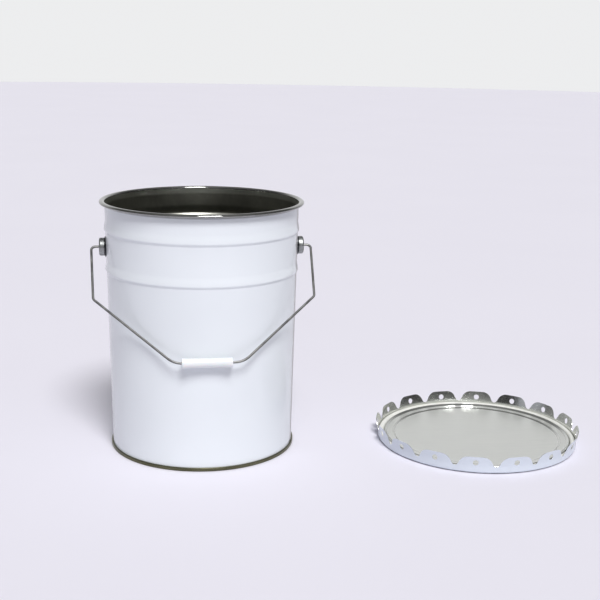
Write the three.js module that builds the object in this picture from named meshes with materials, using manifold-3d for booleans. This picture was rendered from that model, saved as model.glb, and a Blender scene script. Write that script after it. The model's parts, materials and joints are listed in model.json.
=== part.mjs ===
// A tapered 20 litre tinplate pail with its bail handle, and its lug cover lying upside-down beside it.
// Millimetres, +Z up, the table at Z = 0. The pail's ears lie along X and its bail hangs towards -Y.
import * as THREE from "three";
import { mergeVertices } from "three/addons/utils/BufferGeometryUtils.js";
import Module from "manifold-3d";

const GAP = 0.3; // between pieces that touch
const SHEET = 0.4; // tinplate thickness
const PAIL_SIDES = 48; // facets round the pail
const QUARTER_TURN = Math.PI / 2;

// Pail
const PAIL_HEIGHT = 366;
const WALL_RADIUS_BOTTOM = 133.9; // outside of the wall at the table
const WALL_RADIUS_TOP = 140.4; // outside of the wall under the curl
const CURL_RADIUS = 148; // outside of the rolled rim
const CURL_HALF_HEIGHT = 3.25;
const CURL_END_ANGLE = THREE.MathUtils.degToRad(-140); // how far round the rim is rolled
const BEAD_HEIGHTS = [266.5, 325]; // the widest line of each nesting bead
const BEAD_DEPTH = 1.8;
const BEAD_SHOULDER = 0.65; // share of the depth half-way up or down a bead
const BEAD_RISE = 13; // from a bead's widest line up to the plain wall
const BEAD_FALL = 5; // and down to it

// Double seam round the foot
const SEAM_RADIUS = 136.4;
const SEAM_HEIGHT = 5;
const HOOK_TIP_HEIGHT = 3.2; // top of the wall's hook inside the seam
const PANEL_STEP_RADIUS = 108; // ring step that stiffens the bottom panel
const PANEL_STEP = 1.5;

// Ears
const EAR_HEIGHT = 297.4;
const EAR_CUP_RADIUS = 13;
const EAR_FLANGE_RADIUS = 15.2;
const EAR_REACH = 9.6; // from the wall to the cup's outer face
const EAR_SHEET = 0.8;
const EAR_CORNER = 2;
const EAR_SIDES = 24;

// Bail: U along the ears' axis, D away from it in the bail's plane
const WIRE_RADIUS = 1.75;
const WIRE_SIDES = 8;
const WIRE_HOLE_RADIUS = 2.3;
const WIRE_HEAD_RADIUS = 3.6;
const WIRE_HEAD_LENGTH = 1.8;
const WIRE_HEAD_SIDES = 12;
const BAIL_TOP_U = 160;
const BAIL_ELBOW_U = 156.6;
const BAIL_ELBOW_D = 91;
const BAIL_FOOT_U = 47.5;
const BAIL_FOOT_D = 198.1;
const BEND_LENGTH = 6; // from a corner to the start of its bend
const STEPS_PER_BEND = 4;
const GRIP_RADIUS = 7;
const GRIP_LENGTH = 70;
const GRIP_SHIFT = -2.3; // where it has slid to along the wire
const GRIP_EDGE = 1;
const GRIP_SIDES = 20;

// Lug cover, measured upside-down as it lies
const COVER_X = 417.8; // from the pail's axis
const COVER_Y = -37.9;
const LUG_COUNT = 16;
const LUG_PHASE = THREE.MathUtils.degToRad(5.45);
const COVER_SIDES = LUG_COUNT * 3;
const SKIRT_RADIUS = 150.4;
const SKIRT_CORNER = 3.5; // rounding between the channel and the skirt
const LUG_FLARE = 2.6; // outward lean over a lug's height
const NOTCH_FLOOR = 10.2;
const LUG_TIP = 25.5;
const LUG_FLAT = 19.2; // straight part of a lug's end
const LUG_CORNER = 15;
const NOTCH_RADIUS = 4.8;
const NOTCH_STEPS = 5; // facets on each rounding of a notch
const LUG_HOLE_RADIUS = 4.1;
const LUG_HOLE_SIDES = 10;
const LUG_HOLE_HEIGHT = 16.5;
const CUTTER_LENGTH = 40; // through the skirt, half of it on each side
const CHANNEL_INNER_RADIUS = 140.6; // wall between the channel and the panel
const RIDGE_HEIGHT = 8;
const RIDGE_HALF_WIDTH = 1;
const LEDGE_HEIGHT = 5.7;
const LEDGE_OUTER_RADIUS = 135.5;
const LEDGE_INNER_RADIUS = 128;
const PANEL_RADIUS = 124;
const PANEL_HEIGHT = 4.7;
const GASKET_INNER_RADIUS = 141.5;
const GASKET_HEIGHT = 8.6;
const GASKET_CROWN = 1.4; // rounding of the gasket's top edges

const wasm = await Module();
wasm.setup();

// ---- Materials ----

function metal(color, roughness) {
  return new THREE.MeshStandardMaterial({ color, roughness, metalness: 1 });
}

function coating(color, roughness) {
  return new THREE.MeshStandardMaterial({ color, roughness, metalness: 0 });
}

// ---- Solids ----

function toManifold(geometry) {
  const bare = geometry.index ? geometry.toNonIndexed() : geometry;
  const positions = new THREE.BufferGeometry();
  positions.setAttribute("position", bare.getAttribute("position"));
  const merged = mergeVertices(positions, 1e-3);
  const vertProperties = new Float32Array(merged.attributes.position.array);
  const triVerts = new Uint32Array(merged.index.array);
  return new wasm.Manifold(new wasm.Mesh({ numProp: 3, vertProperties, triVerts }));
}

function toGeometry(manifold) {
  const { vertProperties, triVerts } = manifold.getMesh();
  const indexed = new THREE.BufferGeometry();
  indexed.setAttribute("position", new THREE.BufferAttribute(vertProperties, 3));
  indexed.setIndex(new THREE.BufferAttribute(triVerts, 1));
  const geometry = indexed.toNonIndexed();
  geometry.computeVertexNormals();
  return geometry;
}

function toMesh(name, geometry, material) {
  const mesh = new THREE.Mesh(geometry, material);
  mesh.name = name;
  return mesh;
}

// Turns a closed (radius, height) outline round the Z axis.
function turned(outline, sides) {
  return new THREE.LatheGeometry(outline, sides).rotateX(QUARTER_TURN);
}

function ring(points) {
  return [...points, points[0]];
}

// ---- Outlines ----

function at(radius, height) {
  return new THREE.Vector2(radius, height);
}

// Points along an ellipse's arc, both ends included.
function arc(centre, radii, from, to, steps) {
  return Array.from({ length: steps + 1 }, (_, i) => {
    const angle = from + ((to - from) * i) / steps;
    return at(centre.x + radii.x * Math.cos(angle), centre.y + radii.y * Math.sin(angle));
  });
}

// The same line moved sideways to its left, its corners kept sharp.
function offsetLine(points, distance) {
  const left = (a, b) => at(a.y - b.y, b.x - a.x).normalize();
  return points.map((point, i) => {
    const before = left(points[Math.max(i - 1, 0)], points[Math.max(i, 1)]);
    const last = points.length - 1;
    const after = left(points[Math.min(i, last - 1)], points[Math.min(i + 1, last)]);
    const middle = before.clone().add(after).normalize();
    return point.clone().addScaledVector(middle, distance / middle.dot(before));
  });
}

// The outline of a bent sheet whose one face follows the line and whose other lies to its left.
function sheetOutline(line, thickness) {
  return [...line, ...offsetLine(line, thickness).reverse()];
}

// ---- Pail ----

const WALL_SLOPE = (WALL_RADIUS_TOP - WALL_RADIUS_BOTTOM) / PAIL_HEIGHT;

function wallRadius(height) {
  return WALL_RADIUS_BOTTOM + WALL_SLOPE * height;
}

function wallPoint(height, bulge = 0) {
  return at(wallRadius(height) + bulge, height);
}

function beadLine(height) {
  return [
    wallPoint(height - BEAD_FALL),
    wallPoint(height - BEAD_FALL / 2, BEAD_DEPTH * BEAD_SHOULDER),
    wallPoint(height, BEAD_DEPTH),
    wallPoint(height + BEAD_RISE / 2, BEAD_DEPTH * BEAD_SHOULDER),
    wallPoint(height + BEAD_RISE),
  ];
}

// The wall's outer face, from the tip of the hook inside the seam, up the wall, to the end of the curl.
function bodyShell() {
  const floor = SHEET + GAP;
  const hookRadius = wallRadius(0) + SHEET + 2 * GAP + SHEET; // inner face of the upturned hook
  const curlHalfWidth = (CURL_RADIUS - WALL_RADIUS_TOP + SHEET) / 2;
  const curlCentre = at(CURL_RADIUS - curlHalfWidth, PAIL_HEIGHT - CURL_HALF_HEIGHT);
  const curlRadii = at(curlHalfWidth - SHEET, CURL_HALF_HEIGHT - SHEET);
  const outerFace = [
    at(hookRadius, HOOK_TIP_HEIGHT),
    at(hookRadius, floor + SHEET),
    wallPoint(floor + SHEET),
    ...BEAD_HEIGHTS.flatMap(beadLine),
    ...arc(curlCentre, curlRadii, Math.PI, CURL_END_ANGLE, 10),
  ];
  return turned(ring(sheetOutline(outerFace, SHEET)), PAIL_SIDES);
}

// The bottom panel, the wall that stands inside the body, and the two folds that clasp the body's hook.
function bottomEnd() {
  const chuckRadius = wallRadius(0) - SHEET - GAP;
  const coverHookRadius = wallRadius(SEAM_HEIGHT) + GAP;
  const panelHeight = SEAM_HEIGHT - SHEET;
  const underside = [
    at(0, panelHeight - PANEL_STEP),
    at(PANEL_STEP_RADIUS, panelHeight - PANEL_STEP),
    at(PANEL_STEP_RADIUS + PANEL_STEP, panelHeight),
    at(chuckRadius - SHEET, panelHeight),
    at(chuckRadius - SHEET, 0),
    at(SEAM_RADIUS - SHEET, 0),
    at(SEAM_RADIUS, SHEET),
    at(SEAM_RADIUS, SEAM_HEIGHT),
    at(coverHookRadius, SEAM_HEIGHT),
    at(coverHookRadius, HOOK_TIP_HEIGHT / 2),
  ];
  return turned(sheetOutline(underside, SHEET), PAIL_SIDES);
}

// Sealing compound squeezed into the fold above the body's hook.
function seamCompound() {
  const inner = wallRadius(SEAM_HEIGHT) + GAP + SHEET + GAP;
  const outer = SEAM_RADIUS - SHEET - GAP;
  const bottom = HOOK_TIP_HEIGHT + GAP;
  const top = SEAM_HEIGHT - SHEET - GAP;
  const outline = [at(inner, bottom), at(outer, bottom), at(outer, top), at(inner, top)];
  return turned(ring(outline), PAIL_SIDES);
}

// ---- Ears ----

// The space inside the pail's wall near the ears, widened by a clearance.
function wallCone(clearance) {
  const low = EAR_HEIGHT - 2 * EAR_FLANGE_RADIUS;
  const high = EAR_HEIGHT + 2 * EAR_FLANGE_RADIUS;
  const topRadius = wallRadius(high) + clearance;
  const bottomRadius = wallRadius(low) + clearance;
  const cone = new THREE.CylinderGeometry(topRadius, bottomRadius, high - low, PAIL_SIDES);
  return toManifold(cone.rotateX(QUARTER_TURN).translate(0, 0, EAR_HEIGHT));
}

function rodAlongX(radius, from, to, sides) {
  const rod = new THREE.CylinderGeometry(radius, radius, to - from, sides);
  return rod.rotateZ(-QUARTER_TURN).translate((from + to) / 2, 0, 0);
}

// A pressed cup on a thin flange that follows the wall, with a hole for the wire. It faces +X.
function earGeometry() {
  const faceX = wallRadius(EAR_HEIGHT) + EAR_REACH;
  const buriedX = wallRadius(EAR_HEIGHT) - EAR_REACH;
  const cupLine = [
    at(EAR_CUP_RADIUS, buriedX),
    ...arc(
      at(EAR_CUP_RADIUS - EAR_CORNER, faceX - EAR_CORNER),
      at(EAR_CORNER, EAR_CORNER),
      0,
      QUARTER_TURN,
      3,
    ),
    at(WIRE_HOLE_RADIUS, faceX),
  ];
  const onEarAxis = (geometry) => toManifold(geometry.translate(0, 0, EAR_HEIGHT));
  const cup = onEarAxis(turned(ring(sheetOutline(cupLine, EAR_SHEET)), EAR_SIDES).rotateY(QUARTER_TURN));
  const opening = onEarAxis(rodAlongX(EAR_CUP_RADIUS - EAR_SHEET, buriedX, faceX, EAR_SIDES));
  const disc = onEarAxis(rodAlongX(EAR_FLANGE_RADIUS, buriedX, faceX, EAR_SIDES));
  const wall = wallCone(GAP);
  const flange = disc.intersect(wallCone(GAP + EAR_SHEET)).subtract(opening);
  return toGeometry(cup.add(flange).subtract(wall));
}

// ---- Bail ----

// How far the bail stands off straight down when its grip rests on the wall.
function bailLean() {
  const reach = wallRadius(EAR_HEIGHT) + GRIP_RADIUS + GAP;
  return Math.asin(reach / (BAIL_FOOT_D * Math.hypot(1, WALL_SLOPE))) - Math.atan(WALL_SLOPE);
}

// A line through given points whose sections stand at the points themselves.
class StationCurve extends THREE.Curve {
  constructor(stations) {
    super();
    this.stations = stations;
  }

  getPoint(t) {
    const last = this.stations.length - 1;
    const index = Math.min(Math.floor(t * last), last - 1);
    return this.stations[index].clone().lerp(this.stations[index + 1], t * last - index);
  }

  getUtoTmapping(u) {
    return u;
  }
}

// The corners' line with each inner corner bent round.
function bentLine(corners) {
  const towards = (from, to) => from.clone().addScaledVector(to.clone().sub(from).normalize(), BEND_LENGTH);
  const bends = corners.slice(1, -1).flatMap((corner, i) => {
    const bend = new THREE.QuadraticBezierCurve3(
      towards(corner, corners[i]),
      corner,
      towards(corner, corners[i + 2]),
    );
    return bend.getPoints(STEPS_PER_BEND);
  });
  return [corners[0], ...bends, corners.at(-1)];
}

function roundShape(radius, sides) {
  const points = Array.from({ length: sides }, (_, i) => {
    const angle = (2 * Math.PI * i) / sides;
    return at(radius * Math.cos(angle), radius * Math.sin(angle));
  });
  return new THREE.Shape(points);
}

// The bail's wire in its own plane: the ears' axis is X and the bail hangs down -Z.
function bailWire() {
  const headOuterU = wallRadius(EAR_HEIGHT) + EAR_REACH - EAR_SHEET - GAP;
  const headInnerU = headOuterU - WIRE_HEAD_LENGTH;
  const rightHalf = [
    [BAIL_FOOT_U, BAIL_FOOT_D],
    [BAIL_ELBOW_U, BAIL_ELBOW_D],
    [BAIL_TOP_U, 0],
    [headInnerU, 0],
  ].map(([u, d]) => new THREE.Vector3(u, 0, -d));
  const mirrored = rightHalf.map((p) => new THREE.Vector3(-p.x, p.y, p.z)).reverse();
  const stations = bentLine([...mirrored, ...rightHalf]);
  const wire = new THREE.ExtrudeGeometry(roundShape(WIRE_RADIUS, WIRE_SIDES), {
    steps: stations.length - 1,
    extrudePath: new StationCurve(stations),
  });
  const rightHead = toManifold(rodAlongX(WIRE_HEAD_RADIUS, headInnerU, headOuterU, WIRE_HEAD_SIDES));
  const leftHead = toManifold(rodAlongX(WIRE_HEAD_RADIUS, -headOuterU, -headInnerU, WIRE_HEAD_SIDES));
  return toGeometry(toManifold(wire).add(rightHead).add(leftHead));
}

function bailGrip() {
  const end = GRIP_LENGTH / 2;
  const outline = [
    at(WIRE_HOLE_RADIUS, -end),
    at(GRIP_RADIUS - GRIP_EDGE, -end),
    at(GRIP_RADIUS, GRIP_EDGE - end),
    at(GRIP_RADIUS, end - GRIP_EDGE),
    at(GRIP_RADIUS - GRIP_EDGE, end),
    at(WIRE_HOLE_RADIUS, end),
  ];
  return turned(ring(outline), GRIP_SIDES).rotateY(QUARTER_TURN);
}

// ---- Lug cover ----

// The gap between two lugs, drawn across the skirt: a round floor, leaning sides and the lugs' round corners.
function notchShape() {
  const lugPitch = (2 * Math.PI * SKIRT_RADIUS) / LUG_COUNT;
  const cornerX = (lugPitch - LUG_FLAT) / 2;
  const cornerY = LUG_TIP - LUG_CORNER;
  const floorY = NOTCH_FLOOR + NOTCH_RADIUS;
  const roundings = LUG_CORNER + NOTCH_RADIUS;
  const sideLean =
    Math.acos(roundings / Math.hypot(cornerX, cornerY - floorY)) - Math.atan2(cornerY - floorY, cornerX);
  const shape = new THREE.Shape();
  shape.moveTo(cornerX, 2 * LUG_TIP);
  shape.lineTo(-cornerX, 2 * LUG_TIP);
  shape.absarc(-cornerX, cornerY, LUG_CORNER, QUARTER_TURN, sideLean, true);
  shape.absarc(0, floorY, NOTCH_RADIUS, Math.PI + sideLean, 2 * Math.PI - sideLean, false);
  shape.absarc(cornerX, cornerY, LUG_CORNER, Math.PI - sideLean, QUARTER_TURN, true);
  return shape;
}

// A bar with the given section that reaches out through the skirt at one angle.
function radialBar(shape, angle, curveSegments) {
  const bar = new THREE.ExtrudeGeometry(shape, { depth: CUTTER_LENGTH, curveSegments, bevelEnabled: false });
  bar.translate(0, 0, SKIRT_RADIUS - CUTTER_LENGTH / 2);
  return bar.rotateX(QUARTER_TURN).rotateZ(angle + QUARTER_TURN);
}

function lugCover() {
  const inside = SKIRT_RADIUS - SHEET;
  const innerFace = [
    at(inside + LUG_FLARE, LUG_TIP),
    at(inside, NOTCH_FLOOR),
    ...arc(
      at(inside - SKIRT_CORNER, SHEET + SKIRT_CORNER),
      at(SKIRT_CORNER, SKIRT_CORNER),
      0,
      -QUARTER_TURN,
      4,
    ),
    at(CHANNEL_INNER_RADIUS, SHEET),
    at(CHANNEL_INNER_RADIUS, RIDGE_HEIGHT - RIDGE_HALF_WIDTH),
    at(CHANNEL_INNER_RADIUS - RIDGE_HALF_WIDTH, RIDGE_HEIGHT),
    at(LEDGE_OUTER_RADIUS, LEDGE_HEIGHT),
    at(LEDGE_INNER_RADIUS, LEDGE_HEIGHT),
    at(PANEL_RADIUS, PANEL_HEIGHT),
    at(0, PANEL_HEIGHT),
  ];
  const blank = toManifold(turned(ring(sheetOutline(innerFace, SHEET)), COVER_SIDES));
  const notch = notchShape();
  const hole = roundShape(LUG_HOLE_RADIUS, LUG_HOLE_SIDES);
  const halfPitch = Math.PI / LUG_COUNT;
  let cover = blank;
  for (let lug = 0; lug < LUG_COUNT; lug += 1) {
    const angle = 2 * halfPitch * lug;
    const holeBar = radialBar(hole, angle, 1).translate(0, 0, LUG_HOLE_HEIGHT);
    const notchBar = radialBar(notch, angle + halfPitch, NOTCH_STEPS);
    cover = cover.subtract(toManifold(holeBar)).subtract(toManifold(notchBar));
  }
  return toGeometry(cover).rotateZ(LUG_PHASE);
}

function coverGasket() {
  const outer = SKIRT_RADIUS - SHEET - GAP;
  const bottom = SHEET + GAP;
  const outline = [
    at(GASKET_INNER_RADIUS, bottom),
    at(outer - SKIRT_CORNER, bottom),
    at(outer, bottom + SKIRT_CORNER),
    at(outer, GASKET_HEIGHT - GASKET_CROWN),
    at(outer - GASKET_CROWN, GASKET_HEIGHT),
    at(GASKET_INNER_RADIUS + GASKET_CROWN, GASKET_HEIGHT),
    at(GASKET_INNER_RADIUS, GASKET_HEIGHT - GASKET_CROWN),
  ];
  return turned(ring(outline), COVER_SIDES).rotateZ(LUG_PHASE);
}

// ---- Assembly ----

function makePail() {
  const pail = new THREE.Group();
  const earMetal = metal(0x6e7070, 0.45);
  const leftEar = toMesh("left_ear", earGeometry(), earMetal);
  leftEar.rotation.z = Math.PI;
  pail.add(
    toMesh("body_shell", bodyShell(), coating(0xe6eaf0, 0.25)),
    toMesh("bottom_end", bottomEnd(), metal(0x8c7e48, 0.35)),
    toMesh("bottom_seam_compound", seamCompound(), coating(0x9a8f7a, 0.8)),
    leftEar,
    toMesh("right_ear", earGeometry(), earMetal.clone()),
    makeBail(),
  );
  return pail;
}

function makeBail() {
  const bail = new THREE.Group();
  const grip = toMesh("bail_grip", bailGrip(), coating(0xe9edf0, 0.4));
  grip.position.set(GRIP_SHIFT, 0, -BAIL_FOOT_D);
  bail.add(toMesh("bail_wire", bailWire(), metal(0x77797a, 0.4)), grip);
  bail.position.z = EAR_HEIGHT;
  bail.rotation.x = -bailLean();
  return bail;
}

function makeCover() {
  const cover = new THREE.Group();
  cover.add(
    toMesh("lid_cover", lugCover(), metal(0xc4c6c6, 0.35)),
    toMesh("lid_gasket", coverGasket(), coating(0xf2f2ec, 0.7)),
  );
  cover.position.set(COVER_X, COVER_Y, 0);
  return cover;
}

// Moves the set so that the middle of its footprint is the origin.
function centred(set) {
  const middle = new THREE.Box3().setFromObject(set).getCenter(new THREE.Vector3());
  for (const piece of set.children) {
    piece.position.x -= middle.x;
    piece.position.y -= middle.y;
  }
  return set;
}

const set = new THREE.Group();
set.add(makePail(), makeCover());
export default centred(set);
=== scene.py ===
"""The looks of a 20 litre tinplate pail, its bail and its upturned lug cover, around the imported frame.

Everything is in metres in the frame's own axes: +Z up, the ears along X, the bail on the -Y side.
"""

import json
import math
import random

import bmesh
import bpy
from mathutils import Matrix, Vector


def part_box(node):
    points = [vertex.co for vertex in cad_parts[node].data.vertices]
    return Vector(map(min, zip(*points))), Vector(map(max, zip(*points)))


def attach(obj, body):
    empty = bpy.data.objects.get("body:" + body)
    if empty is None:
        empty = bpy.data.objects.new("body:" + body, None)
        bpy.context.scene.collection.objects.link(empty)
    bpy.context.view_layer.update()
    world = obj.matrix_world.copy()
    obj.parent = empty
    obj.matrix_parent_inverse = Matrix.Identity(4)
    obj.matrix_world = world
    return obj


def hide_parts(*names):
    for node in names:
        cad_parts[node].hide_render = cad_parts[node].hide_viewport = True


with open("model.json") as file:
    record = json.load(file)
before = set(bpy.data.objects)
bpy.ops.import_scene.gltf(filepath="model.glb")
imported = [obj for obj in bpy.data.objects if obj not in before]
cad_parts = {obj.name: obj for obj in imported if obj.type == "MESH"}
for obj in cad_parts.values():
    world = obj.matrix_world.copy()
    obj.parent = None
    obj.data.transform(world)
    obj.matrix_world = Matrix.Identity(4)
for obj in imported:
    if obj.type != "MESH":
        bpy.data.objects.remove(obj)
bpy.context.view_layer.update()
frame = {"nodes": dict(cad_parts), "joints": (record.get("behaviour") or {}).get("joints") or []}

MM = 0.001
QUARTER_TURN = math.pi / 2
FULL_TURN = 2 * math.pi

# ---- Sizes read from the frame ----


def middle(node):
    low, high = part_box(node)
    return (low + high) / 2


def half_width(node):
    low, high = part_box(node)
    return (high.x - low.x) / 2


def top(node):
    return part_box(node)[1].z


def joint_place(name):
    joint = next(j for j in frame["joints"] if j["name"] == name)
    return Vector(joint["pos_m"])


PAIL_AXIS = Vector((middle("bottom_end").x, middle("bottom_end").y, 0))
COVER_AXIS = Vector((middle("lid_gasket").x, middle("lid_gasket").y, 0))
RIM_HEIGHT = top("body_shell")
RIM_RADIUS = half_width("body_shell")
SEAM_HEIGHT = top("bottom_end")
SEAM_RADIUS = half_width("bottom_end")
PIVOT = joint_place("bail_swing") - PAIL_AXIS
GRIP_PLACE = joint_place("grip_spin") - PAIL_AXIS
GRIP_HALF_LENGTH = half_width("bail_grip")
GRIP_RADIUS = (top("bail_grip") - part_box("bail_grip")[0].z) / 2
LUG_TIP = top("lid_cover")
GASKET_TOP = top("lid_gasket")

# ---- Sizes of the finer shapes ----

SHEET = 0.4 * MM
GAP = 0.3 * MM
PAIL_SIDES = 224

WALL_TOP_RADIUS = RIM_RADIUS - 7.6 * MM
WALL_FOOT_RADIUS = SEAM_RADIUS - 2.5 * MM
WALL_SLOPE = (WALL_TOP_RADIUS - WALL_FOOT_RADIUS) / RIM_HEIGHT
RIM_HALF_HEIGHT = 2.6 * MM
RIM_ROLL = math.radians(-150)  # where the roll ends, round its own middle from straight outwards
RIM_ROOT = RIM_HEIGHT - 1.2 * RIM_HALF_HEIGHT  # where the wall ends and the roll starts
INNER_PAINTED_LIGHT_HEIGHT = 355.5 * MM  # where the band inside the rim, painted paler as painted light, starts
BEAD_HEIGHTS = (266.5 * MM, 325 * MM)
BEAD_DEPTH = 1.8 * MM
BEAD_RISE = 13 * MM
BEAD_FALL = 5 * MM
BEAD_RISE_STEPS = 16
BEAD_FALL_STEPS = 10
HOOK_TIP = 3.2 * MM
BOTTOM_STEP = 1.5 * MM
BOTTOM_STEP_RADIUS = 108 * MM

EAR_SIDES = 72
EAR_CUP_RADIUS = 13 * MM
EAR_FLANGE_RADIUS = 15.2 * MM
EAR_REACH = 9.6 * MM
EAR_SHEET = 0.8 * MM
EAR_HOLE_RADIUS = 2.3 * MM
EAR_FOLD_SHADE_REACH = 2.2 * MM  # stand-off below which the ear's fold is painted dark as shade
EAR_LIP = 0.25 * MM
EAR_FILLET = 0.9 * MM
EAR_CROWN = 2.4 * MM

WIRE_RADIUS = 1.75 * MM
WIRE_SIDES = 20
WIRE_HEAD_RADIUS = 3.5 * MM
WIRE_HEAD_LENGTH = 1.8 * MM
WIRE_HEAD_EDGE = 0.3 * MM

# The bail's corners: U is across the pail from its middle, and D is from the pivots towards the grip.
BAIL_TOP_U = 160 * MM
BAIL_ELBOW_U = 156.6 * MM
BAIL_ELBOW_D = 91 * MM
BAIL_FOOT_U = 47.5 * MM
BEND_RADII = (30 * MM, 8 * MM, 6 * MM)  # at the foot, the elbow and the top
BEND_STEPS = 10

GRIP_SIDES = 64
GRIP_STEPS = 24
GRIP_BORE = WIRE_RADIUS + 0.5 * MM
GRIP_EDGE = 1.2 * MM
GRIP_WAIST = 0.35 * MM
GRIP_WAIST_POWER = 6  # the higher, the flatter the waist along its middle

COVER_SIDES = 320
LUG_COUNT = 16
LUG_PHASE = math.radians(5.45)  # from +X to the middle of the first lug
SKIRT_RADIUS = 150.4 * MM
SKIRT_CORNER = 3.5 * MM
LUG_FLARE = 2.6 * MM
FLARE_STEPS = 8
FLARE_POWER = 1.1
LUG_BEND = 1.3 * MM
LUG_BEND_LEAST = -0.4  # the furthest inward lean, as a share of the furthest outward one

# The seed isn't a chance one. Seeds were tried from 0 up, and this is the first that put twelve lugs' leans
# in given ranges, seven of them to give the lug about the brightness it has in the photograph.
LUG_BEND_SEED = 3305
NOTCH_FLOOR = 10.2 * MM
LUG_FLAT = 19.2 * MM
LUG_CORNER = 15 * MM
NOTCH_RADIUS = 4.8 * MM
LUG_HOLE_RADIUS = 4.1 * MM
LUG_HOLE_HEIGHT = 16.5 * MM
HOLE_SIDES = 32
CHANNEL_INNER_RADIUS = 140.6 * MM
CHANNEL_TOE = 1 * MM
RIDGE_HEIGHT = 8 * MM
RIDGE_RADIUS = 1.1 * MM
LEDGE_HEIGHT = 5.7 * MM
LEDGE_OUTER_RADIUS = 135.5 * MM
LEDGE_INNER_RADIUS = 128 * MM
LEDGE_START = (LEDGE_OUTER_RADIUS + 0.6 * MM, LEDGE_HEIGHT + 0.25 * MM)
LEDGE_END = (LEDGE_INNER_RADIUS, LEDGE_HEIGHT)
LEDGE_FALL_START = (LEDGE_INNER_RADIUS - 0.5 * MM, LEDGE_HEIGHT)
PANEL_RADIUS = 124 * MM
PANEL_HEIGHT = 4.7 * MM
PANEL_RINGS = (0.9, 0.6, 0.3, 0)  # the flat panel's rings, as shares of its radius
GASKET_BOTTOM = SHEET + GAP
GASKET_INNER_RADIUS = 141.5 * MM
GASKET_OUTER_RADIUS = half_width("lid_gasket") - 0.2 * MM
GASKET_CROWN = 3.2 * MM

MERGE_DISTANCE = 1e-7
SHARP_ANGLE = math.radians(35)

# ---- Where the finishes change ----

ENAMEL_IOR = 1.5
CONTACT_SHADE_HEIGHT = 0.9 * MM  # the cover's edge is painted dark as a contact shadow to here, and fades out over as much again
UNDER_RIM_SHARE = 0.9  # how far the enamel goes towards the painted shade close under the rim
UNDER_RIM_START = RIM_HEIGHT - 3 * RIM_HALF_HEIGHT
UNDER_RIM_FULL = RIM_HEIGHT - 2.2 * RIM_HALF_HEIGHT
WELD_ANGLE = math.radians(-15.5)
WELD_MARGIN = 15 * MM  # bare stripe along the side weld
WELD_BEAD = 1.6 * MM
BARE_ROUGHNESS = 0.16  # added where the enamel stops
DULL_ROUGHNESS = 0.14  # added on the cover's flat panel and ledge
DULL_METALLIC = 0.5


# ---- Colours: a pair is the two ends of a finish's variation ----

COVER_WHITES = ((0.70, 0.75, 0.83), (0.66, 0.71, 0.79))
PAIL_WHITES = ((0.83, 0.865, 0.905), (0.80, 0.835, 0.875))
EDGE_PAINTED_CONTACT_SHADE = (0.16, 0.17, 0.23)
UNDER_RIM_PAINTED_SHADE = (0.12, 0.12, 0.13)
WELD_MARGIN_TINS = ((0.38, 0.38, 0.37), (0.50, 0.50, 0.48))
WELD_BEAD_TIN = (0.24, 0.24, 0.24)
RIM_TINS = ((0.35, 0.35, 0.34), (0.24, 0.24, 0.23))
INNER_LIGHT_TINS = ((0.40, 0.40, 0.36), (0.70, 0.71, 0.65))  # below the painted light band, in it
INNER_DARK_TINS = ((0.27, 0.27, 0.24), (0.52, 0.53, 0.48))
COVER_TINS = ((0.74, 0.75, 0.72), (0.62, 0.63, 0.61))
LACQUERS = ((0.10, 0.10, 0.06), (0.15, 0.145, 0.09))
SCUFFED_LACQUER = (0.26, 0.25, 0.21)
ZINCS = ((0.17, 0.18, 0.18), (0.42, 0.43, 0.43))
ZINC_FOLD_PAINTED_SHADE = (0.035, 0.035, 0.04)
WIRE_STEELS = ((0.12, 0.12, 0.12), (0.27, 0.27, 0.26))
GRIP_WHITES = ((0.84, 0.86, 0.87), (0.80, 0.83, 0.85))
FOAM_WHITES = ((0.80, 0.80, 0.77), (0.73, 0.73, 0.69))
COMPOUND_BROWNS = ((0.33, 0.28, 0.20), (0.25, 0.21, 0.15))
FLOOR_WHITES = ((0.80, 0.78, 0.86), (0.79, 0.77, 0.85))
SKY_TINT = (0.985, 0.99, 1)


# ---- Node trees ----


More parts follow.
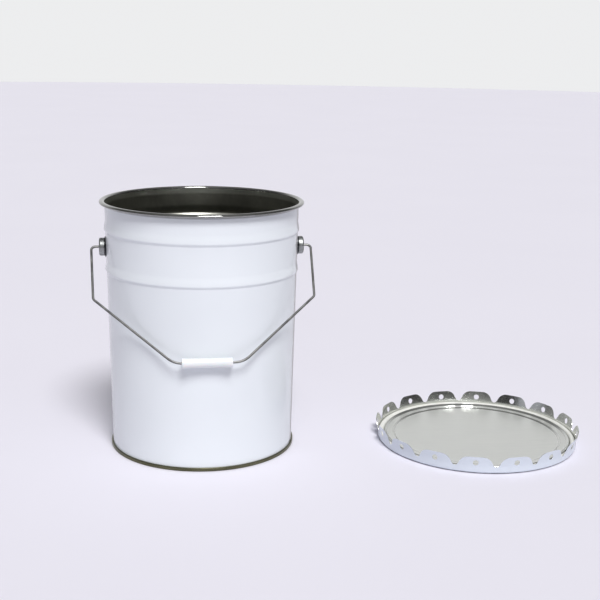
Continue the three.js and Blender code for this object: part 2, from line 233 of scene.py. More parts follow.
class NodeTree:
    """A node tree, with short ways to add the nodes that the finishes and the world are made of."""

    def __init__(self, tree):
        self.tree = tree

    def feed(self, socket, value):
        """Gives a socket another node's output, a colour or a number."""
        if isinstance(value, bpy.types.NodeSocket):
            self.tree.links.new(value, socket)
        elif isinstance(value, tuple):
            socket.default_value = (*value, 1)
        else:
            socket.default_value = value

    def add(self, kind, **inputs):
        """A new node, with what its named inputs are fed; a space in an input's name is written _ here."""
        node = self.tree.nodes.new(kind)
        for name, value in inputs.items():
            self.feed(node.inputs[name.replace("_", " ")], value)
        return node

    def remap(self, value, low, high, from_low=0.3, from_high=0.7, interpolation="LINEAR"):
        """Takes from_low to low and from_high to high. Most of a noise lies between 0.3 and 0.7."""
        node = self.add("ShaderNodeMapRange", Value=value, To_Min=low, To_Max=high)
        self.feed(node.inputs["From Min"], from_low)
        self.feed(node.inputs["From Max"], from_high)
        node.interpolation_type = interpolation
        return node.outputs["Result"]

    def maths(self, operation, first, second=0):
        node = self.add("ShaderNodeMath")
        node.operation = operation
        self.feed(node.inputs[0], first)
        self.feed(node.inputs[1], second)
        return node.outputs["Value"]

    def mix(self, kind, factor, first, second):
        """Goes from first to second with the factor; kind is Float or Color."""
        node = self.add("ShaderNodeMix")
        node.data_type = {"Float": "FLOAT", "Color": "RGBA"}[kind]
        sockets = {socket.identifier: socket for socket in node.inputs}
        self.feed(sockets["Factor_Float"], factor)
        self.feed(sockets["A_" + kind], first)
        self.feed(sockets["B_" + kind], second)
        return next(socket for socket in node.outputs if socket.identifier == "Result_" + kind)

    def split(self, vector):
        node = self.add("ShaderNodeSeparateXYZ", Vector=vector)
        return node.outputs["X"], node.outputs["Y"], node.outputs["Z"]

    def profile(self, value, stops):
        """A grey level along the value, through (value, level) stops from 0 to 1."""
        ramp = self.add("ShaderNodeValToRGB", Fac=value)
        points = ramp.color_ramp.elements
        while len(points) < len(stops):
            points.new(0.5)
        for point, (position, level) in zip(points, stops):
            point.position = position
            point.color = (level, level, level, 1)
        return ramp.outputs["Color"]


class Finish(NodeTree):
    """A material's node tree. Its places and distances are metres in the piece's own axes."""

    def __init__(self, name, **constants):
        self.material = bpy.data.materials.new(name)
        self.material.use_nodes = True
        super().__init__(self.material.node_tree)
        self.shader = self.tree.nodes["Principled BSDF"]
        for socket, value in constants.items():
            self.feed(self.shader.inputs[socket.replace("_", " ")], value)
        self.place = self.add("ShaderNodeTexCoord").outputs["Object"]

    def noise(self, scale, detail=3, stretch=None, roughness=0.5):
        node = self.add("ShaderNodeTexNoise", Scale=scale, Detail=detail, Roughness=roughness)
        self.feed(node.inputs["Vector"], self.stretched(stretch) if stretch else self.place)
        return node.outputs["Fac"]

    def stretched(self, scale):
        mapping = self.add("ShaderNodeMapping", Vector=self.place)
        mapping.inputs["Scale"].default_value = scale
        return mapping.outputs["Vector"]

    def spangle(self, scale):
        return self.add("ShaderNodeTexVoronoi", Vector=self.place, Scale=scale).outputs["Distance"]

    def beyond(self, value, edge, softness):
        """0 where the value is below the edge and 1 above it."""
        return self.remap(value, 0, 1, edge - softness, edge + softness)

    def within(self, value, edge, softness):
        """1 where the value is below the edge and 0 above it."""
        return self.remap(value, 1, 0, edge - softness, edge + softness)

    def ragged(self, value, scale, depth):
        """The value made uneven by up to the depth, so that an edge found from it is ragged."""
        return self.maths("ADD", value, self.remap(self.noise(scale), -depth, depth))

    def mottled(self, noise, first, second):
        """A colour that goes from first to second with the noise."""
        return self.mix("Color", self.remap(noise, 0, 1), first, second)

    def colour(self, value):
        self.feed(self.shader.inputs["Base Color"], value)

    def roughness(self, value):
        self.feed(self.shader.inputs["Roughness"], value)

    def metallic(self, value):
        self.feed(self.shader.inputs["Metallic"], value)

    def bump(self, *heights):
        """Each height is (value, depth in metres); they add up."""
        normal = None
        for value, depth in heights:
            node = self.add("ShaderNodeBump", Height=value, Distance=depth)
            if normal:
                self.feed(node.inputs["Normal"], normal)
            normal = node.outputs["Normal"]
        self.feed(self.shader.inputs["Normal"], normal)

    def enamel_bump(self, *more):
        """The fine peel and the slow waves of sprayed enamel, with any more heights."""
        self.bump((self.noise(420, detail=2), 0.03 * MM), (self.noise(14, detail=1), 0.5 * MM), *more)

    def rolled_tin(self, light, dark, low_roughness, high_roughness):
        """Colours and bumps the surface like rolled tinplate and gives its roughness."""
        lines = self.noise(40, detail=6, stretch=(0.5, 14, 2), roughness=0.65)
        stains = self.noise(16, detail=4)
        tone = self.maths("MULTIPLY", self.remap(lines, 0.55, 1), self.remap(stains, 0.6, 1))
        self.colour(self.mix("Color", tone, dark, light))
        self.bump((lines, 0.015 * MM), (self.noise(9, detail=1), 0.3 * MM))
        both = self.maths("ADD", lines, stains)
        return self.remap(both, low_roughness, high_roughness, from_low=0.7, from_high=1.3)


# ---- Finishes ----


def cover_enamel():
    """The cover's outside: bluish white enamel, with a painted contact shadow along the edge it stands on.
    """
    finish = Finish("cover_enamel", IOR=ENAMEL_IOR)
    enamel = finish.mottled(finish.noise(9, detail=2), *COVER_WHITES)
    height = finish.split(finish.place)[2]
    # painted contact shadow: a ragged dark line along the edge the cover stands on
    ragged_height = finish.ragged(height, 120, 0.3 * MM)
    contact_shade = finish.remap(ragged_height, 1, 0, CONTACT_SHADE_HEIGHT, 2 * CONTACT_SHADE_HEIGHT)
    finish.colour(finish.mix("Color", contact_shade, enamel, EDGE_PAINTED_CONTACT_SHADE))
    finish.roughness(finish.remap(finish.noise(30, detail=4), 0.16, 0.27))
    finish.enamel_bump()
    return finish.material


def weld_distance(finish):
    """The distance round the wall from the middle of the side weld."""
    x, y, _ = finish.split(finish.place)
    angle = finish.maths("ARCTAN2", y, x)
    offset = finish.maths("ABSOLUTE", finish.maths("SUBTRACT", angle, WELD_ANGLE))
    return finish.maths("MULTIPLY", offset, WALL_TOP_RADIUS)


def pail_enamel():
    """The pail's enamel, which stops short of the side weld and leaves its margins bare."""
    finish = Finish("pail_enamel", IOR=ENAMEL_IOR)
    distance = weld_distance(finish)
    bare = finish.within(finish.ragged(distance, 300, 0.2 * MM), WELD_MARGIN / 2, 0.15 * MM)
    bead = finish.within(distance, WELD_BEAD / 2, 0.3 * MM)
    enamel = finish.mottled(finish.noise(9, detail=2), *PAIL_WHITES)
    height = finish.split(finish.place)[2]
    # painted shade in the crevice close under the rolled rim
    under_rim_shade = finish.remap(height, 0, UNDER_RIM_SHARE, UNDER_RIM_START, UNDER_RIM_FULL)
    enamel = finish.mix("Color", under_rim_shade, enamel, UNDER_RIM_PAINTED_SHADE)
    tin = finish.mottled(finish.noise(60, detail=5, stretch=(1, 1, 12)), *WELD_MARGIN_TINS)
    metal = finish.mix("Color", bead, tin, WELD_BEAD_TIN)
    finish.colour(finish.mix("Color", bare, enamel, metal))
    finish.metallic(bare)
    gloss = finish.remap(finish.noise(30, detail=4), 0.1, 0.18)
    finish.roughness(finish.maths("ADD", gloss, finish.maths("MULTIPLY", bare, BARE_ROUGHNESS)))
    finish.enamel_bump((bead, 0.15 * MM), (bare, -0.04 * MM))
    return finish.material


def rim_tinplate():
    """The bare rolled rim, polished by its rolling."""
    finish = Finish("rim_tinplate", Metallic=1)
    finish.roughness(finish.rolled_tin(*RIM_TINS, 0.06, 0.12))
    return finish.material


def inner_tinplate():
    """The pail's inside, with a band under the rim painted paler as painted light."""
    finish = Finish("inner_tinplate", Metallic=1)
    height = finish.split(finish.place)[2]
    # painted light: the inside is coloured paler in a band under the rim
    painted_light_band = finish.beyond(finish.ragged(height, 12, 0.5 * MM), INNER_PAINTED_LIGHT_HEIGHT, 1.5 * MM)
    light = finish.mix("Color", painted_light_band, *INNER_LIGHT_TINS)
    dark = finish.mix("Color", painted_light_band, *INNER_DARK_TINS)
    finish.roughness(finish.rolled_tin(light, dark, 0.28, 0.38))
    return finish.material


def cover_tinplate():
    """The cover's inside: bright where the sheet is formed, dull on the flat panel and its ledge."""
    finish = Finish("cover_tinplate")
    gloss = finish.rolled_tin(*COVER_TINS, 0.17, 0.25)
    x, y, _ = finish.split(finish.place)
    squares = [finish.maths("POWER", value, 2) for value in (x, y)]
    radius = finish.maths("SQRT", finish.maths("ADD", *squares))
    softness = 0.7 * MM
    panel = finish.within(radius, PANEL_RADIUS, softness)
    past_ledge_start = finish.beyond(radius, LEDGE_INNER_RADIUS, softness)
    before_ledge_end = finish.within(radius, LEDGE_OUTER_RADIUS, softness)
    ledge = finish.maths("MULTIPLY", past_ledge_start, before_ledge_end)
    dull = finish.maths("ADD", panel, ledge)
    finish.roughness(finish.maths("ADD", gloss, finish.maths("MULTIPLY", dull, DULL_ROUGHNESS)))
    finish.metallic(finish.remap(dull, 1, DULL_METALLIC, from_low=0, from_high=1))
    return finish.material


def lacquered_seam():
    """Dark olive lacquer on the foot's seam and the bottom, scuffed through to the metal in places."""
    finish = Finish("lacquered_seam", Metallic=1)
    scuffs = finish.noise(260, detail=6, roughness=0.7)
    lacquer = finish.mottled(finish.noise(22), *LACQUERS)
    scuffed = finish.remap(scuffs, 0, 1, from_low=0.6, from_high=0.8)
    finish.colour(finish.mix("Color", scuffed, lacquer, SCUFFED_LACQUER))
    finish.roughness(finish.remap(scuffs, 0.22, 0.42))
    finish.bump((scuffs, 0.05 * MM))
    return finish.material


def zinc_plate():
    """Zinc-plated steel with fine crystals, and painted shade in the fold between the cup and its flange.
    """
    finish = Finish("zinc_plate", Metallic=1)
    crystals = finish.remap(finish.spangle(420), 0.6, 1, from_low=0, from_high=0.8)
    stains = finish.noise(120, detail=5)
    tone = finish.maths("MULTIPLY", crystals, finish.remap(stains, 0.5, 1))
    plate = finish.mix("Color", tone, *ZINCS)
    reach = finish.maths("ABSOLUTE", finish.split(finish.place)[0])
    # painted shade: the fold between the cup and its flange is coloured dark
    fold_shade = finish.within(reach, wall_radius(PIVOT.z) + EAR_FOLD_SHADE_REACH, 0.6 * MM)
    finish.colour(finish.mix("Color", fold_shade, plate, ZINC_FOLD_PAINTED_SHADE))
    finish.roughness(finish.remap(stains, 0.32, 0.48))
    finish.bump((stains, 0.06 * MM))
    return finish.material


def drawn_wire():
    finish = Finish("drawn_wire", Metallic=1)
    stains = finish.noise(70, detail=5, roughness=0.6)
    finish.colour(finish.mottled(stains, *WIRE_STEELS))
    finish.roughness(finish.remap(stains, 0.32, 0.46))
    finish.bump((finish.noise(600, detail=2), 0.006 * MM))
    return finish.material


def white_polyethylene():
    """The grip's moulded plastic, slightly translucent."""
    finish = Finish("white_polyethylene", IOR=1.5, Subsurface_Weight=0.15, Subsurface_Scale=2 * MM)
    finish.colour(finish.mottled(finish.noise(60), *GRIP_WHITES))
    finish.roughness(finish.remap(finish.noise(250, detail=4), 0.34, 0.5))
    finish.bump((finish.noise(700, detail=3), 0.03 * MM), (finish.noise(60, detail=1), 0.2 * MM))
    return finish.material


def gasket_foam():
    finish = Finish("gasket_foam", IOR=1.45)
    cells = finish.noise(900, detail=3)
    finish.colour(finish.mottled(finish.noise(50), *FOAM_WHITES))
    finish.roughness(finish.remap(cells, 0.55, 0.8))
    finish.bump((cells, 0.08 * MM), (finish.noise(80, detail=2), 0.4 * MM))
    return finish.material


def sealing_compound():
    finish = Finish("sealing_compound")
    lumps = finish.noise(400, detail=4)
    finish.colour(finish.mottled(lumps, *COMPOUND_BROWNS))
    finish.roughness(finish.remap(lumps, 0.6, 0.85))
    finish.bump((lumps, 0.1 * MM))
    return finish.material


def floor_paint():
    finish = Finish("floor_paint", Roughness=0.75)
    finish.colour(finish.mottled(finish.noise(2), *FLOOR_WHITES))
    return finish.material


# ---- Meshes ----


def finished_object(name, mesh, place, finishes, body, node):
    """A smooth-shaded piece that rides on the body, in place of the node."""
    for material in finishes:
        mesh.materials.append(material)
    mesh.shade_smooth()
    mesh.set_sharp_from_angle(angle=SHARP_ANGLE)
    piece = bpy.data.objects.new(name, mesh)
    bpy.context.scene.collection.objects.link(piece)
    piece.location = place
    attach(piece, body)
    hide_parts(node)


def round_angles(count):
    return [FULL_TURN * step / count for step in range(count)]


def join_rings(shape, ring, following, finish=0):
    """The band of faces between two rings of as many vertices."""
    for side in range(len(ring)):
        face = shape.faces.new((ring[side - 1], ring[side], following[side], following[side - 1]))
        face.material_index = finish


def turned_mesh(name, stretches, sides):
    """Turns a closed outline round Z. A stretch is (its (radius, height) points, its finish's number)."""
    outline = [(point, finish) for points, finish in stretches for point in points]
    shape = bmesh.new()
    rings = []
    for (radius, height), _ in outline:
        corners = [(radius * math.cos(a), radius * math.sin(a), height) for a in round_angles(sides)]
        rings.append([shape.verts.new(corner) for corner in corners])
    for index, (_, finish) in enumerate(outline):
        join_rings(shape, rings[index], rings[(index + 1) % len(rings)], finish)
    return mesh_of(name, shape)


def mesh_of(name, shape):
    """The finished mesh of a bmesh, with its doubled vertices merged and its faces pointing out."""
    bmesh.ops.remove_doubles(shape, verts=shape.verts, dist=MERGE_DISTANCE)
    bmesh.ops.recalc_face_normals(shape, faces=shape.faces)
    mesh = bpy.data.meshes.new(name)
    shape.to_mesh(mesh)
    shape.free()
    return mesh


def arc(centre, radius, start, end, steps):
    """Points along a circle's arc, both ends included."""
    return ellipse_arc(centre, (radius, radius), start, end, steps)


def ellipse_arc(centre, radii, start, end, steps):
    points = []
    for step in range(steps + 1):
        angle = start + (end - start) * step / steps
        points.append((centre[0] + radii[0] * math.cos(angle), centre[1] + radii[1] * math.sin(angle)))
    return points


def offset_line(points, distance):
    """The same line moved sideways to its left."""

    def left(a, b):
        return Vector((a[1] - b[1], b[0] - a[0])).normalized()

    last = len(points) - 1
    moved = []
    for index, point in enumerate(points):
        before = left(points[max(index - 1, 0)], points[max(index, 1)])
        after = left(points[min(index, last - 1)], points[min(index + 1, last)])
        middle_way = (before + after).normalized()
        shifted = Vector(point) + middle_way * (distance / middle_way.dot(before))
        moved.append(tuple(shifted))
    return moved


def smooth_step(share):
    share = min(max(share, 0), 1)
    return share * share * (3 - 2 * share)


# ---- Pail ----


def wall_radius(height):
    return WALL_FOOT_RADIUS + WALL_SLOPE * height


def bead_bulge(height):
    bulge = 0
    for bead in BEAD_HEIGHTS:
        reach = BEAD_RISE if height > bead else BEAD_FALL
        bulge += BEAD_DEPTH * (1 - smooth_step(abs(height - bead) / reach))
    return bulge


def wall_line():
    """The wall's face from the foot to the root of the rim. Only its beads need points between."""
    heights = [2 * SHEET + GAP]
    for bead in BEAD_HEIGHTS:
        heights += [bead + BEAD_FALL * (step / BEAD_FALL_STEPS - 1) for step in range(BEAD_FALL_STEPS)]
        heights += [bead + BEAD_RISE * step / BEAD_RISE_STEPS for step in range(BEAD_RISE_STEPS + 1)]
    heights.append(RIM_ROOT)
    return [(wall_radius(height) + bead_bulge(height), height) for height in heights]


def rim_line():
    """The rim's roll, from the wall's top outwards, down and back in under itself."""
    half_width_of_roll = (RIM_RADIUS - WALL_TOP_RADIUS + SHEET) / 2
    centre = (RIM_RADIUS - half_width_of_roll, RIM_HEIGHT - RIM_HALF_HEIGHT)
    radii = (half_width_of_roll - SHEET, RIM_HALF_HEIGHT - SHEET)
    return ellipse_arc(centre, radii, math.pi, RIM_ROLL, steps=36)


def build_body(enamel, inner_tin, rim_tin):
    enamelled, bare, rolled = range(3)
    hook = wall_radius(0) + 2 * SHEET + 2 * GAP
    hook_line = [(hook, HOOK_TIP), (hook, 2 * SHEET + GAP)]
    wall = wall_line()
    rim = rim_line()
    outer = hook_line + wall + rim
    inner = offset_line(outer, SHEET)
    wall_end = len(hook_line) + len(wall)
    stretches = [
        (outer[:wall_end], enamelled),
        (rim, rolled),
        (inner[wall_end:][::-1], rolled),
        (inner[:wall_end][::-1], bare),
    ]
    mesh = turned_mesh("pail_body", stretches, PAIL_SIDES)
    finishes = (enamel, inner_tin, rim_tin)
    finished_object("pail_body", mesh, PAIL_AXIS, finishes, "pail", "body_shell")


def bottom_line():
    """The bottom's underside from the axis out and round the double seam to the tip of its hook."""
    chuck = wall_radius(0) - SHEET - GAP
    hook = wall_radius(SEAM_HEIGHT) + GAP
    panel = SEAM_HEIGHT - SHEET
    fold = 0.9 * MM
    turn = SHEET + 0.3 * MM
    underside = [(0, panel - BOTTOM_STEP), (BOTTOM_STEP_RADIUS, panel - BOTTOM_STEP)]
    underside += [(BOTTOM_STEP_RADIUS + BOTTOM_STEP, panel), (chuck - SHEET, panel)]
    underside += arc((chuck - SHEET + fold, fold), fold, math.pi, 3 * QUARTER_TURN, steps=6)
    underside += arc((SEAM_RADIUS - fold, fold), fold, -QUARTER_TURN, 0, steps=6)
    underside += arc((SEAM_RADIUS - turn, SEAM_HEIGHT - turn), turn, 0, QUARTER_TURN, steps=5)
    return underside + [(hook, SEAM_HEIGHT), (hook, HOOK_TIP / 2)]


def build_bottom(lacquer, inner_tin):
    underside = bottom_line()
    upper = offset_line(underside, SHEET)
    stretches = [(underside, 0), (upper[::-1], 1)]
    mesh = turned_mesh("pail_bottom", stretches, PAIL_SIDES)
    finishes = (lacquer, inner_tin)
    finished_object("pail_bottom", mesh, PAIL_AXIS, finishes, "pail", "bottom_end")


# ---- Ears ----


def ear_outline():
    """(distance from the axis, stand-off, whether it follows the wall), from edge to hole and back."""
    back = GAP
    face = GAP + EAR_SHEET
    fillet_centre = (EAR_CUP_RADIUS + EAR_FILLET, face + EAR_FILLET)
    crown_centre = (EAR_CUP_RADIUS - EAR_CROWN, EAR_REACH - EAR_CROWN)
    inside_radius = EAR_CUP_RADIUS - EAR_SHEET
    inside_face = EAR_REACH - EAR_SHEET
    flange = [(EAR_FLANGE_RADIUS, back), (EAR_FLANGE_RADIUS, face - EAR_LIP)]
    flange.append((EAR_FLANGE_RADIUS - EAR_LIP, face))
    flange += arc(fillet_centre, EAR_FILLET, 3 * QUARTER_TURN, math.pi, steps=6)
    cup = arc(crown_centre, EAR_CROWN, 0, QUARTER_TURN, steps=10)
    cup += [(EAR_HOLE_RADIUS + EAR_LIP, EAR_REACH), (EAR_HOLE_RADIUS, EAR_REACH - EAR_LIP)]
    cup += [(EAR_HOLE_RADIUS, inside_face), (inside_radius - EAR_CROWN, inside_face)]
    cup.append((inside_radius, inside_face - EAR_CROWN))
    outline = [(*point, True) for point in flange]
    outline += [(*point, False) for point in cup]
    return outline + [(inside_radius, back, True)]


def build_ear(side, node, zinc):
    """side is 1 for the ear towards +X and -1 for the other."""
    shape = bmesh.new()
    rings = []
    for distance, stand_off, follows in ear_outline():
        ring = []
        for angle in round_angles(EAR_SIDES):
            y = distance * math.cos(angle)
            height = PIVOT.z + distance * math.sin(angle)
            reach = math.sqrt(wall_radius(height) ** 2 - y * y) if follows else wall_radius(PIVOT.z)
            ring.append(shape.verts.new((side * (reach + stand_off), y, height)))
        rings.append(ring)
    for index, ring in enumerate(rings):
        join_rings(shape, ring, rings[(index + 1) % len(rings)])
    mesh = mesh_of(node, shape)
    finished_object(node + "_cup", mesh, PAIL_AXIS, (zinc,), "pail", node)


# ---- Bail ----


def rounded_corner(before, corner, after, radius):
    """The arc of that radius that bends round a corner, as points."""
    back = (before - corner).normalized()
    onward = (after - corner).normalized()
    half_angle = back.angle(onward) / 2
    centre = corner + (back + onward).normalized() * (radius / math.sin(half_angle))
    start = (corner + back * (radius / math.tan(half_angle)) - centre).normalized()
    end = (corner + onward * (radius / math.tan(half_angle)) - centre).normalized()
    return [centre + start.slerp(end, step / BEND_STEPS) * radius for step in range(BEND_STEPS + 1)]


def wire_line():
    """The wire's centre line from one head to the other, in the pail's frame at rest."""
    downwards = GRIP_PLACE - PIVOT
    downwards.x = 0
    drop = downwards.length
    downwards.normalize()
    head_u = wall_radius(PIVOT.z) + EAR_REACH - EAR_SHEET - GAP
    right = [(BAIL_FOOT_U, drop), (BAIL_ELBOW_U, BAIL_ELBOW_D), (BAIL_TOP_U, 0), (head_u, 0)]
    plan = [(-u, d) for u, d in right[::-1]] + right
    corners = [PIVOT + Vector((u, 0, 0)) + downwards * d for u, d in plan]
    radii = BEND_RADII[::-1] + BEND_RADII
    line = [corners[0]]
    for index, radius in enumerate(radii, start=1):
        line += rounded_corner(corners[index - 1], corners[index], corners[index + 1], radius)
    return line + [corners[-1]]


def swept_rings(shape, line, radii, across):
    """A ring of vertices round each point of a flat line; across is the direction square to its plane."""
    rings = []
    last = len(line) - 1
    for index, (point, radius) in enumerate(zip(line, radii)):
        along = (line[min(index + 1, last)] - line[max(index - 1, 0)]).normalized()
        sideways = across.cross(along)
        ring = []
        for angle in round_angles(WIRE_SIDES):
            outwards = across * math.cos(angle) + sideways * math.sin(angle)
            ring.append(shape.verts.new(point + outwards * radius))
        rings.append(ring)
    return rings


def with_heads(line):
    """The line's points with an upset head added inside each ear, and the radius at each point."""
    onward = (line[-1] - line[-2]).normalized()
    head = [(reach, WIRE_HEAD_RADIUS) for reach in (0, WIRE_HEAD_EDGE, WIRE_HEAD_LENGTH - WIRE_HEAD_EDGE)]
    head.append((WIRE_HEAD_LENGTH, WIRE_HEAD_RADIUS - WIRE_HEAD_EDGE))
    tail = [(line[-1] + onward * distance, radius) for distance, radius in head]
    mirrored = [(Vector((-point.x, point.y, point.z)), radius) for point, radius in tail]
    wire = [(point, WIRE_RADIUS) for point in line]
    return zip(*mirrored[::-1], *wire, *tail)


def build_wire(wire):
    points, radii = with_heads(wire_line())
    across = (GRIP_PLACE - PIVOT).cross(Vector((1, 0, 0))).normalized()
    shape = bmesh.new()
    rings = swept_rings(shape, points, radii, across)
    for ring, following in zip(rings, rings[1:]):
        join_rings(shape, ring, following)
    shape.faces.new(rings[0])
    shape.faces.new(rings[-1][::-1])
    mesh = mesh_of("bail_wire_bent", shape)
    finished_object("bail_wire_bent", mesh, PAIL_AXIS, (wire,), "bail", "bail_wire")


def build_grip(plastic):
    """A moulded tube with rounded ends and a shallow waist."""
    straight = GRIP_HALF_LENGTH - GRIP_EDGE
    rounding = GRIP_RADIUS - GRIP_EDGE
    outside = []
    for step in range(GRIP_STEPS + 1):
        along = straight * (2 * step / GRIP_STEPS - 1)
        pinch = GRIP_WAIST * (1 - (along / GRIP_HALF_LENGTH) ** GRIP_WAIST_POWER)
        outside.append((GRIP_RADIUS - pinch, along))
    left_end = arc((rounding, -straight), GRIP_EDGE, -QUARTER_TURN, 0, steps=6)
    right_end = arc((rounding, straight), GRIP_EDGE, 0, QUARTER_TURN, steps=6)
    outline = [(GRIP_BORE, -GRIP_HALF_LENGTH)] + left_end + outside + right_end
    outline.append((GRIP_BORE, GRIP_HALF_LENGTH))
    mesh = turned_mesh("grip_tube", [(outline, 0)], GRIP_SIDES)
    mesh.transform(Matrix.Rotation(QUARTER_TURN, 4, "Y"))
    place = PAIL_AXIS + GRIP_PLACE
    finished_object("grip_tube", mesh, place, (plastic,), "grip", "bail_grip")


# ---- Lug cover ----


def lug_line():
    """The lugs' inner face, which flares out, from the tip to the floor of the notches."""
    points = []
    for step in range(FLARE_STEPS + 1):
        share = 1 - step / FLARE_STEPS
        radius = SKIRT_RADIUS - SHEET + LUG_FLARE * share**FLARE_POWER
        points.append((radius, NOTCH_FLOOR + (LUG_TIP - NOTCH_FLOOR) * share))
    return points


def cover_lines():
    """The cover's inner face from a lug's tip to the axis, and its outer face back again."""
    corner_centre = (SKIRT_RADIUS - SHEET - SKIRT_CORNER, SHEET + SKIRT_CORNER)
    toe_centre = (CHANNEL_INNER_RADIUS + CHANNEL_TOE, SHEET + CHANNEL_TOE)
    ridge_centre = (CHANNEL_INNER_RADIUS - RIDGE_RADIUS, RIDGE_HEIGHT - RIDGE_RADIUS)
    lean = math.atan2(RIDGE_HEIGHT - LEDGE_HEIGHT, ridge_centre[0] - LEDGE_OUTER_RADIUS)
    inner = lug_line()
    inner += arc(corner_centre, SKIRT_CORNER, 0, -QUARTER_TURN, steps=10)
    inner += arc(toe_centre, CHANNEL_TOE, 3 * QUARTER_TURN, math.pi, steps=6)
    inner += arc(ridge_centre, RIDGE_RADIUS, 0, QUARTER_TURN + lean, steps=10)
    inner += eased(LEDGE_START, LEDGE_END)
    inner += eased(LEDGE_FALL_START, (PANEL_RADIUS, PANEL_HEIGHT))
    inner += [(PANEL_RADIUS * share, PANEL_HEIGHT) for share in PANEL_RINGS]
    return inner, offset_line(inner, SHEET)[::-1]


def eased(start, end, steps=6):
    """A smooth S from one (radius, height) to another."""
    points = []
    for step in range(steps + 1):
        share = step / steps
        radius = start[0] + (end[0] - start[0]) * share
        points.append((radius, start[1] + (end[1] - start[1]) * smooth_step(share)))
    return points


def notch_outline():
    """The gap between two lugs: a round floor, leaning sides and the lugs' own round corners."""
    corner_x = (FULL_TURN * SKIRT_RADIUS / LUG_COUNT - LUG_FLAT) / 2
    corner_y = LUG_TIP - LUG_CORNER
    floor_y = NOTCH_FLOOR + NOTCH_RADIUS
    spread = math.hypot(corner_x, corner_y - floor_y)
    lean = math.acos((LUG_CORNER + NOTCH_RADIUS) / spread) - math.atan2(corner_y - floor_y, corner_x)
    outline = [(-corner_x, 2 * LUG_TIP)]
    outline += arc((-corner_x, corner_y), LUG_CORNER, QUARTER_TURN, lean, steps=12)
    outline += arc((0, floor_y), NOTCH_RADIUS, math.pi + lean, FULL_TURN - lean, steps=12)
    outline += arc((corner_x, corner_y), LUG_CORNER, math.pi - lean, QUARTER_TURN, steps=12)
    return outline + [(corner_x, 2 * LUG_TIP)]


def hole_outline():
    return arc((0, LUG_HOLE_HEIGHT), LUG_HOLE_RADIUS, 0, FULL_TURN, steps=HOLE_SIDES)[:-1]


def add_radial_bar(shape, outline, angle):
    """A bar with that (sideways, height) section that reaches out through the skirt."""
    turn = Matrix.Rotation(angle, 3, "Z")
    near = SKIRT_RADIUS - 5 * MM
    far = SKIRT_RADIUS + 10 * MM
    ends = [[shape.verts.new(turn @ Vector((reach, y, z))) for y, z in outline] for reach in (near, far)]
    shape.faces.new(ends[0])
    shape.faces.new(ends[1][::-1])
    for index in range(len(outline)):
        shape.faces.new((ends[0][index - 1], ends[1][index - 1], ends[1][index], ends[0][index]))


def lug_cutter():
    shape = bmesh.new()
    notch = notch_outline()
    hole = hole_outline()
    for lug in range(LUG_COUNT):
        angle = LUG_PHASE + FULL_TURN * lug / LUG_COUNT
        add_radial_bar(shape, hole, angle)
        add_radial_bar(shape, notch, angle + math.pi / LUG_COUNT)
    cutter = bpy.data.objects.new("lug_cutter", mesh_of("lug_cutter", shape))
    bpy.context.scene.collection.objects.link(cutter)
    return cutter


def cut_mesh(mesh, cutter):
    """The mesh with the cutter's shape taken out of it."""
    blank = bpy.data.objects.new("blank", mesh)
    bpy.context.scene.collection.objects.link(blank)
    cut = blank.modifiers.new("cut", "BOOLEAN")
    cut.operation = "DIFFERENCE"
    cut.solver = "EXACT"
    cut.object = cutter
    depsgraph = bpy.context.evaluated_depsgraph_get()
    result = bpy.data.meshes.new_from_object(blank.evaluated_get(depsgraph))
    bpy.data.objects.remove(blank)
    bpy.data.objects.remove(cutter)
    return result


def bend_lugs(mesh):
    """Leans each lug a little in or out, as handling leaves them."""
    chance = random.Random(LUG_BEND_SEED)
    bends = [chance.uniform(LUG_BEND_LEAST, 1) * LUG_BEND for lug in range(LUG_COUNT)]
    for vertex in mesh.vertices:
        angle = math.atan2(vertex.co.y, vertex.co.x) - LUG_PHASE
        bend = bends[round(angle * LUG_COUNT / FULL_TURN) % LUG_COUNT]
        share = max(0, (vertex.co.z - NOTCH_FLOOR) / (LUG_TIP - NOTCH_FLOOR))
        outwards = Vector((vertex.co.x, vertex.co.y, 0)).normalized()
        vertex.co += outwards * bend * share


def build_cover():
    """The blank takes its finishes before the cut, so that each face keeps its own."""
    inner, outer = cover_lines()
    blank = turned_mesh("cover_blank", [(inner, 0), (outer, 1)], COVER_SIDES)
    blank.materials.append(cover_tinplate())
    blank.materials.append(cover_enamel())
    mesh = cut_mesh(blank, lug_cutter())
    bend_lugs(mesh)
    finished_object("lug_cover", mesh, COVER_AXIS, (), "cover", "lid_cover")


def build_gasket(foam):
    """A ring that fills the channel's outer corner, with a crowned top."""
    corner_centre = (GASKET_OUTER_RADIUS - SKIRT_CORNER, GASKET_BOTTOM + SKIRT_CORNER)
    outer_crown = (GASKET_OUTER_RADIUS - GASKET_CROWN, GASKET_TOP - GASKET_CROWN)
    inner_crown = (GASKET_INNER_RADIUS + GASKET_CROWN, GASKET_TOP - GASKET_CROWN)
    outline = [(GASKET_INNER_RADIUS, GASKET_BOTTOM), (corner_centre[0], GASKET_BOTTOM)]
    outline += arc(corner_centre, SKIRT_CORNER, -QUARTER_TURN, 0, steps=8)
    outline += arc(outer_crown, GASKET_CROWN, 0, QUARTER_TURN, steps=10)
    outline += arc(inner_crown, GASKET_CROWN, QUARTER_TURN, math.pi, steps=10)
    mesh = turned_mesh("cover_gasket", [(outline, 0)], COVER_SIDES)
    finished_object("cover_gasket", mesh, COVER_AXIS, (foam,), "cover", "lid_gasket")


# ---- Stage ----

# The camera's numbers were fitted to the rim, the foot's seam and the lugs in the photograph.
CAMERA_PLACE = Vector((-97.95, -1631.03, 602.96)) * MM  # from the foot of the pail's axis
CAMERA_YAW = math.radians(8.5)
CAMERA_PITCH = math.radians(13.293)
CAMERA_ROLL = math.radians(1.027)
CAMERA_LENS = 67.88  # mm on a 36 mm sensor
FLOOR_RADIUS = 12
FLOOR_SIDES = 64
FLOOR_HEIGHT = -0.2 * MM  # just clear of the object's foot
KEY_STRENGTH = 2.8
KEY_SPREAD = math.radians(21)
KEY_ELEVATION = math.radians(55)
KEY_AZIMUTH = math.radians(8)  # from straight in front, towards +X

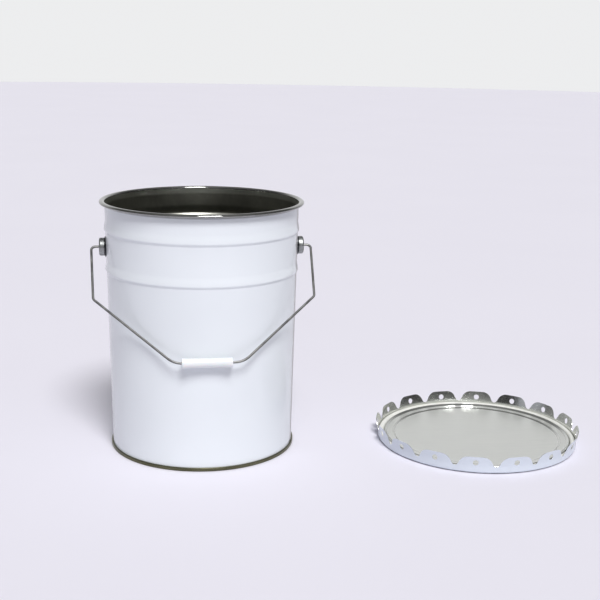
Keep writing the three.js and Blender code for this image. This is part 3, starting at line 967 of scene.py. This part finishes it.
# The room's brightness towards the front and the back, as (the direction's z, level) stops.
FRONT_LEVELS = ((0, 0.04), (0.22, 0.05), (0.38, 0.46), (1, 0.32))
BACK_LEVELS = ((0, 0.84), (0.42, 0.8), (0.55, 0.2), (0.88, 0.2), (1, 0.32))
BACK_START = 0.1  # the direction's y where the front's levels start to give way to the back's
BACK_FULL = 0.6
SIDE_START = 0.3  # the direction's x, either way, where the room starts to darken
SIDE_LEVEL = 0.25
BACKGROUND_LEVEL = 0.86


def build_camera():
    forward = Vector((math.sin(CAMERA_YAW), math.cos(CAMERA_YAW), 0)) * math.cos(CAMERA_PITCH)
    forward.z = -math.sin(CAMERA_PITCH)
    level = Vector((math.cos(CAMERA_YAW), -math.sin(CAMERA_YAW), 0))
    upward = level.cross(forward)
    right = level * math.cos(CAMERA_ROLL) + upward * math.sin(CAMERA_ROLL)
    upward = right.cross(forward)
    turn = Matrix((right, upward, -forward)).transposed()
    camera = bpy.data.objects.new("camera", bpy.data.cameras.new("camera"))
    camera.data.lens = CAMERA_LENS
    camera.matrix_world = Matrix.Translation(PAIL_AXIS + CAMERA_PLACE) @ turn.to_4x4()
    bpy.context.scene.collection.objects.link(camera)
    bpy.context.scene.camera = camera


def build_floor():
    shape = bmesh.new()
    bmesh.ops.create_circle(shape, cap_ends=True, radius=FLOOR_RADIUS, segments=FLOOR_SIDES)
    mesh = bpy.data.meshes.new("floor")
    shape.to_mesh(mesh)
    shape.free()
    mesh.materials.append(floor_paint())
    floor = bpy.data.objects.new("floor", mesh)
    floor.location.z = FLOOR_HEIGHT
    bpy.context.scene.collection.objects.link(floor)


def room_level(nodes):
    """A bright ceiling and back wall, and a darker room low down in front and at the sides."""
    x, y, z = nodes.split(nodes.add("ShaderNodeTexCoord").outputs["Generated"])
    behind = nodes.remap(y, 0, 1, BACK_START, BACK_FULL, interpolation="SMOOTHSTEP")
    front = nodes.profile(z, FRONT_LEVELS)
    back = nodes.profile(z, BACK_LEVELS)
    sideways = nodes.maths("ABSOLUTE", x)
    aside = nodes.remap(sideways, 1, SIDE_LEVEL, SIDE_START, 1, interpolation="SMOOTHSTEP")
    return nodes.maths("MULTIPLY", nodes.mix("Float", behind, front, back), aside)


def build_surroundings():
    """The room lights the object and shows in its gloss; the camera sees one plain pale level instead."""
    world = bpy.data.worlds.new("studio")
    world.use_nodes = True
    nodes = NodeTree(world.node_tree)
    seen = nodes.add("ShaderNodeLightPath").outputs["Is Camera Ray"]
    background = world.node_tree.nodes["Background"]
    nodes.feed(background.inputs["Color"], SKY_TINT)
    nodes.feed(background.inputs["Strength"], nodes.mix("Float", seen, room_level(nodes), BACKGROUND_LEVEL))
    bpy.context.scene.world = world


def build_key_light():
    """A compact studio light, far enough off to light the whole floor alike."""
    light = bpy.data.lights.new("key", "SUN")
    light.energy = KEY_STRENGTH
    light.angle = KEY_SPREAD
    lamp = bpy.data.objects.new("key", light)
    lamp.rotation_euler = (QUARTER_TURN - KEY_ELEVATION, 0, KEY_AZIMUTH)
    bpy.context.scene.collection.objects.link(lamp)


def build_stage():
    build_camera()
    build_floor()
    build_surroundings()
    build_key_light()
    bpy.context.scene.view_settings.view_transform = "Standard"


# ---- Assembly ----


def build_object():
    inner_tin = inner_tinplate()
    build_body(pail_enamel(), inner_tin, rim_tinplate())
    build_bottom(lacquered_seam(), inner_tin)
    frame["nodes"]["bottom_seam_compound"].data.materials[0] = sealing_compound()
    zinc = zinc_plate()
    build_ear(1, "right_ear", zinc)
    build_ear(-1, "left_ear", zinc)
    build_wire(drawn_wire())
    build_grip(white_polyethylene())
    build_cover()
    build_gasket(gasket_foam())


build_stage()
build_object()
